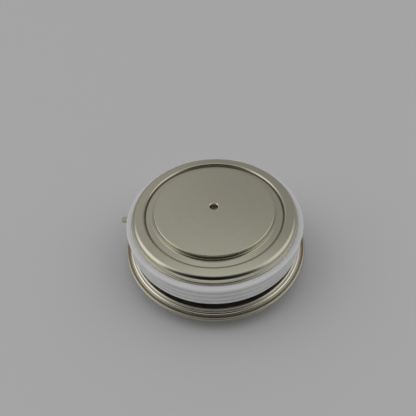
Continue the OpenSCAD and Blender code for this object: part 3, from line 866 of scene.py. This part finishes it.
# %% Sweep of one piece
def leaning(points, r_low, r_high, z_low, z_high, lean):
    """Leans the step between two heights outwards, as a press leaves it. All in millimetres."""
    out = []
    for point in points:
        r, z = point.x / MM, point.y / MM
        share = (z - z_low) / (z_high - z_low) if r_low < r < r_high else 0.0
        out.append(Vector((point.x + lean * MM * share, point.y)))
    return out


def swept_piece(name, node, lean=None, free_r=None, wave_mm=0.0, **sizes):
    """Sweeps a node's section round the axis. The sheet has waves between the two free radii."""
    points = section_of(node)
    if lean:
        points = leaning(points, **lean)
    points = eased(points, EDGE_MM * MM)
    thing = outline_object(name + "_outline", points)
    modifier = thing.modifiers.new("sweep", "NODES")
    modifier.node_group = swept
    sizes["Material"] = finishes[slot_of[node]]
    if free_r:
        sizes["Inner_Radius"], sizes["Outer_Radius"] = (r * MM for r in free_r)
        sizes["Wave_Height"] = wave_mm * MM
    for item in swept.interface.items_tree:
        value = sizes.get(item.name.replace(" ", "_"))
        if item.in_out == "INPUT" and value is not None:
            modifier[item.identifier] = value
    return finished_piece(name, plain_mesh(thing, name), node)


print("sweep ready")

# %% The pressed lid, the ring under the ceramic and the two flange sheets
# Radii, heights and waves are in millimetres.
SHEET_SEGMENTS = 384
STEP_LEAN = {"r_low": 28.3, "r_high": 30.5, "z_low": 24.5, "z_high": 25.7, "lean": 0.5}
COLLAR_R = 26.3
LID_BEND_R = 34.2
SHELF_END_R = 36.95

swept_piece("pressed_lid", "cathode_diaphragm", lean=STEP_LEAN, Segments=SHEET_SEGMENTS,
            free_r=(COLLAR_R, LID_BEND_R), wave_mm=0.05, Wave_Size=9.0)
swept_piece("ring_under_ceramic", "lower_braze_ring", Segments=SHEET_SEGMENTS)
swept_piece("flange_upper_sheet", "weld_ring", Segments=SHEET_SEGMENTS,
            free_r=(SHELF_END_R, TINT_R), wave_mm=0.08, Wave_Size=7.0)
swept_piece("flange_lower_sheet", "anode_diaphragm", Segments=SHEET_SEGMENTS,
            free_r=(COLLAR_R, TINT_R), wave_mm=0.05, Wave_Size=12.0)

# %% The weld bead
RIPPLE_PITCH_MM = 0.8
RIPPLE_DEPTH_MM = 0.04
POINTS_A_RIPPLE = 6
weld_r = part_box("rim_weld")[1].y
ripples = round(2 * math.pi * weld_r / (RIPPLE_PITCH_MM * MM))
swept_piece("rim_weld_bead", "rim_weld", Segments=ripples * POINTS_A_RIPPLE,
            Ripple_Count=ripples, Ripple_Depth=RIPPLE_DEPTH_MM * MM)
print("weld ripples:", ripples)

# %% [markdown]
# ## Ceramic wall
# The ribs are shallow waves, and light that grazes them shows every strip of a coarse mesh. The
# solid's own mesh is merged and shaded smooth, with creases only where the real edges are, so the
# gate hole and all its edges stay exactly where they are.

# %% Ceramic wall
ceramic_mesh = frame["nodes"]["ceramic_ring"].data.copy()
finished_piece("ceramic_wall", ceramic_mesh, "ceramic_ring", crease_deg=28)

# %% [markdown]
# ## Poles
# The poles keep the forms of their solids, but their outer bevels are rounded a little more, as
# tumbling leaves them. The round edge draws a thin bright line round each contact face. The two
# edges of each hole's countersink are rounded too, so the hole shows bright crescents at its lip.

# %% Which edges are rounded
# An edge is rounded when it is level, close to the contact face and clearly bent. From the one
# radius outwards it belongs to the rim, and up to the other one to the hole's lip.
RIM_SOFT_MM = 0.22
LIP_SOFT_MM = 0.139
RIM_FROM_R = 24.5
LIP_UP_TO_R = 2.0
DEEPEST_MM = 0.4
LEVEL_MM = 0.01
BENT_RAD = 0.5
SOFT_STEPS = 4
TIP_R = 0.01


def radius_mm(co):
    return math.hypot(co.x, co.y) / MM


def round_edges(shape, face_z):
    """Rounds the rim and the hole's lip at one contact face, and gives how many edges each had."""
    rim, lip = [], []
    for edge in shape.edges:
        far = [radius_mm(v.co) for v in edge.verts]
        deep = [abs(v.co.z - face_z) / MM for v in edge.verts]
        level = abs(deep[0] - deep[1]) < LEVEL_MM
        if not level or max(deep) >= DEEPEST_MM or edge.calc_face_angle(0) <= BENT_RAD:
            continue
        if min(far) > RIM_FROM_R:
            rim.append(edge)
        if max(far) < LIP_UP_TO_R:
            lip.append(edge)
    counts = len(rim), len(lip)
    for edges, width_mm in ((rim, RIM_SOFT_MM), (lip, LIP_SOFT_MM)):
        bmesh.ops.bevel(shape, geom=edges, offset=width_mm * MM, segments=SOFT_STEPS, profile=0.5,
                        affect="EDGES", clamp_overlap=True)
    return counts


print("rims rounded by", RIM_SOFT_MM, "mm and lips by", LIP_SOFT_MM, "mm")

# %% Poles
for node in ("cathode_pole", "anode_pole"):
    shape = bmesh.new()
    shape.from_mesh(frame["nodes"][node].data)
    bmesh.ops.remove_doubles(shape, verts=shape.verts, dist=MERGE_M)
    low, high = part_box(node)
    counts = round_edges(shape, high.z if node == "cathode_pole" else low.z)
    pole_mesh = bpy.data.meshes.new(node + "_soft")
    shape.to_mesh(pole_mesh)
    shape.free()
    pole = finished_piece(node + "_soft", pole_mesh, node)
    # The drill's point is a cone, so the edges at its tip stay sharp.
    for edge in pole.data.edges:
        if min(radius_mm(pole.data.vertices[i].co) for i in edge.vertices) < TIP_R:
            edge.use_edge_sharp = True
    print(node, "edges rounded at the rim and the lip:", counts)

# %% [markdown]
# ## Light
# Polished metal is only as good as what it mirrors, so the sky repeats what the photograph's metal
# mirrors: a plain grey room, soft light overhead, on both sides and faintly behind on the left, and
# a dark zone where the photographer stands, with a light band under it. Each is a soft patch, which
# is a direction with an inner and an outer angle. There is no lamp, so nothing clips to white and
# all shadows stay soft.

# %% Directions and patches
def direction(azimuth, elevation):
    """Azimuth 0 is the photographer's side, and 90 is the right."""
    a = math.radians(azimuth - heading_deg)
    e = math.radians(elevation)
    return Vector((math.sin(a) * math.cos(e), -math.cos(a) * math.cos(e), math.sin(e)))


def sky_patch(tree, view, toward, inner_deg, outer_deg):
    """1 within the inner angle of a direction, and 0 outside the outer angle."""
    dot = add(tree, "ShaderNodeVectorMath", {"operation": "DOT_PRODUCT"})
    dot.inputs[1].default_value = toward
    join(tree, view, dot.inputs[0])
    inner, outer = math.cos(math.radians(inner_deg)), math.cos(math.radians(outer_deg))
    return remap(tree, dot.outputs["Value"], outer, inner, smooth=True)


print("a patch straight overhead looks towards", direction(0, 90))

# %% What the metal mirrors
SKY_LEVEL = 0.365
SKY_COLOUR = (1.0, 1.0, 1.0)
BACKDROP_COLOUR = (0.42, 0.42, 0.43)

# Each patch: azimuth, elevation, inner and outer angle, and what it adds to the plain sky.
SKY_PATCHES = {
    "overhead": (180, 71, 10, 23, 0.32),
    "left behind": (-142, 43, 5, 26, 0.12),
    "left": (-84, 43, 6, 38, 0.90),
    "right": (98, 44, 8, 38, 0.60),
}
# The dark zone is two patches side by side, wider than it is high.
DARK_PATCHES = ((-19, 47, 16, 40), (23, 46, 17, 42))
DARKNESS = 0.91
# The light band stands low in front. It fades out between two elevations.
BAND_LOW_DEG, BAND_HIGH_DEG = 3, 13
BAND_LIGHT = 0.50
BAND_PATCH = (-10, 0, 20, 70)
print("sky level", SKY_LEVEL, "with patches", list(SKY_PATCHES))

# %% Sky
world = bpy.data.worlds.new("studio")
bpy.context.scene.world = world
world.use_nodes = True
sky = world.node_tree
sky.nodes.clear()
view = add(sky, "ShaderNodeTexCoord").outputs["Generated"]

level = SKY_LEVEL
for azimuth, elevation, inner, outer, strength in SKY_PATCHES.values():
    patch = sky_patch(sky, view, direction(azimuth, elevation), inner, outer)
    level = math_node(sky, "ADD", math_node(sky, "MULTIPLY", patch, strength), level)
for azimuth, elevation, inner, outer in DARK_PATCHES:
    patch = sky_patch(sky, view, direction(azimuth, elevation), inner, outer)
    light_left = math_node(sky, "SUBTRACT", 1.0, math_node(sky, "MULTIPLY", patch, DARKNESS))
    level = math_node(sky, "MULTIPLY", level, light_left)

split = add(sky, "ShaderNodeSeparateXYZ")
join(sky, view, split.inputs[0])
low, high = (math.sin(math.radians(angle)) for angle in (BAND_LOW_DEG, BAND_HIGH_DEG))
band = remap(sky, split.outputs["Z"], low, high, BAND_LIGHT, 0.0, smooth=True)
azimuth, elevation, inner, outer = BAND_PATCH
in_front = sky_patch(sky, view, direction(azimuth, elevation), inner, outer)
level = math_node(sky, "ADD", level, math_node(sky, "MULTIPLY", band, in_front))
print("sky nodes:", len(sky.nodes))

# %% Light and backdrop
# The camera itself sees a plain backdrop, and everything else sees the sky.
lit = add(sky, "ShaderNodeBackground", Color=(*SKY_COLOUR, 1))
join(sky, level, lit.inputs["Strength"])
backdrop = add(sky, "ShaderNodeBackground", Color=(*BACKDROP_COLOUR, 1), Strength=1.0)
rays = add(sky, "ShaderNodeLightPath")
pick = add(sky, "ShaderNodeMixShader")
join(sky, rays.outputs["Is Camera Ray"], pick.inputs[0])
join(sky, lit.outputs[0], pick.inputs[1])
join(sky, backdrop.outputs[0], pick.inputs[2])
out = add(sky, "ShaderNodeOutputWorld")
join(sky, pick.outputs[0], out.inputs["Surface"])
print("world:", world.name, "with", len(sky.nodes), "nodes")
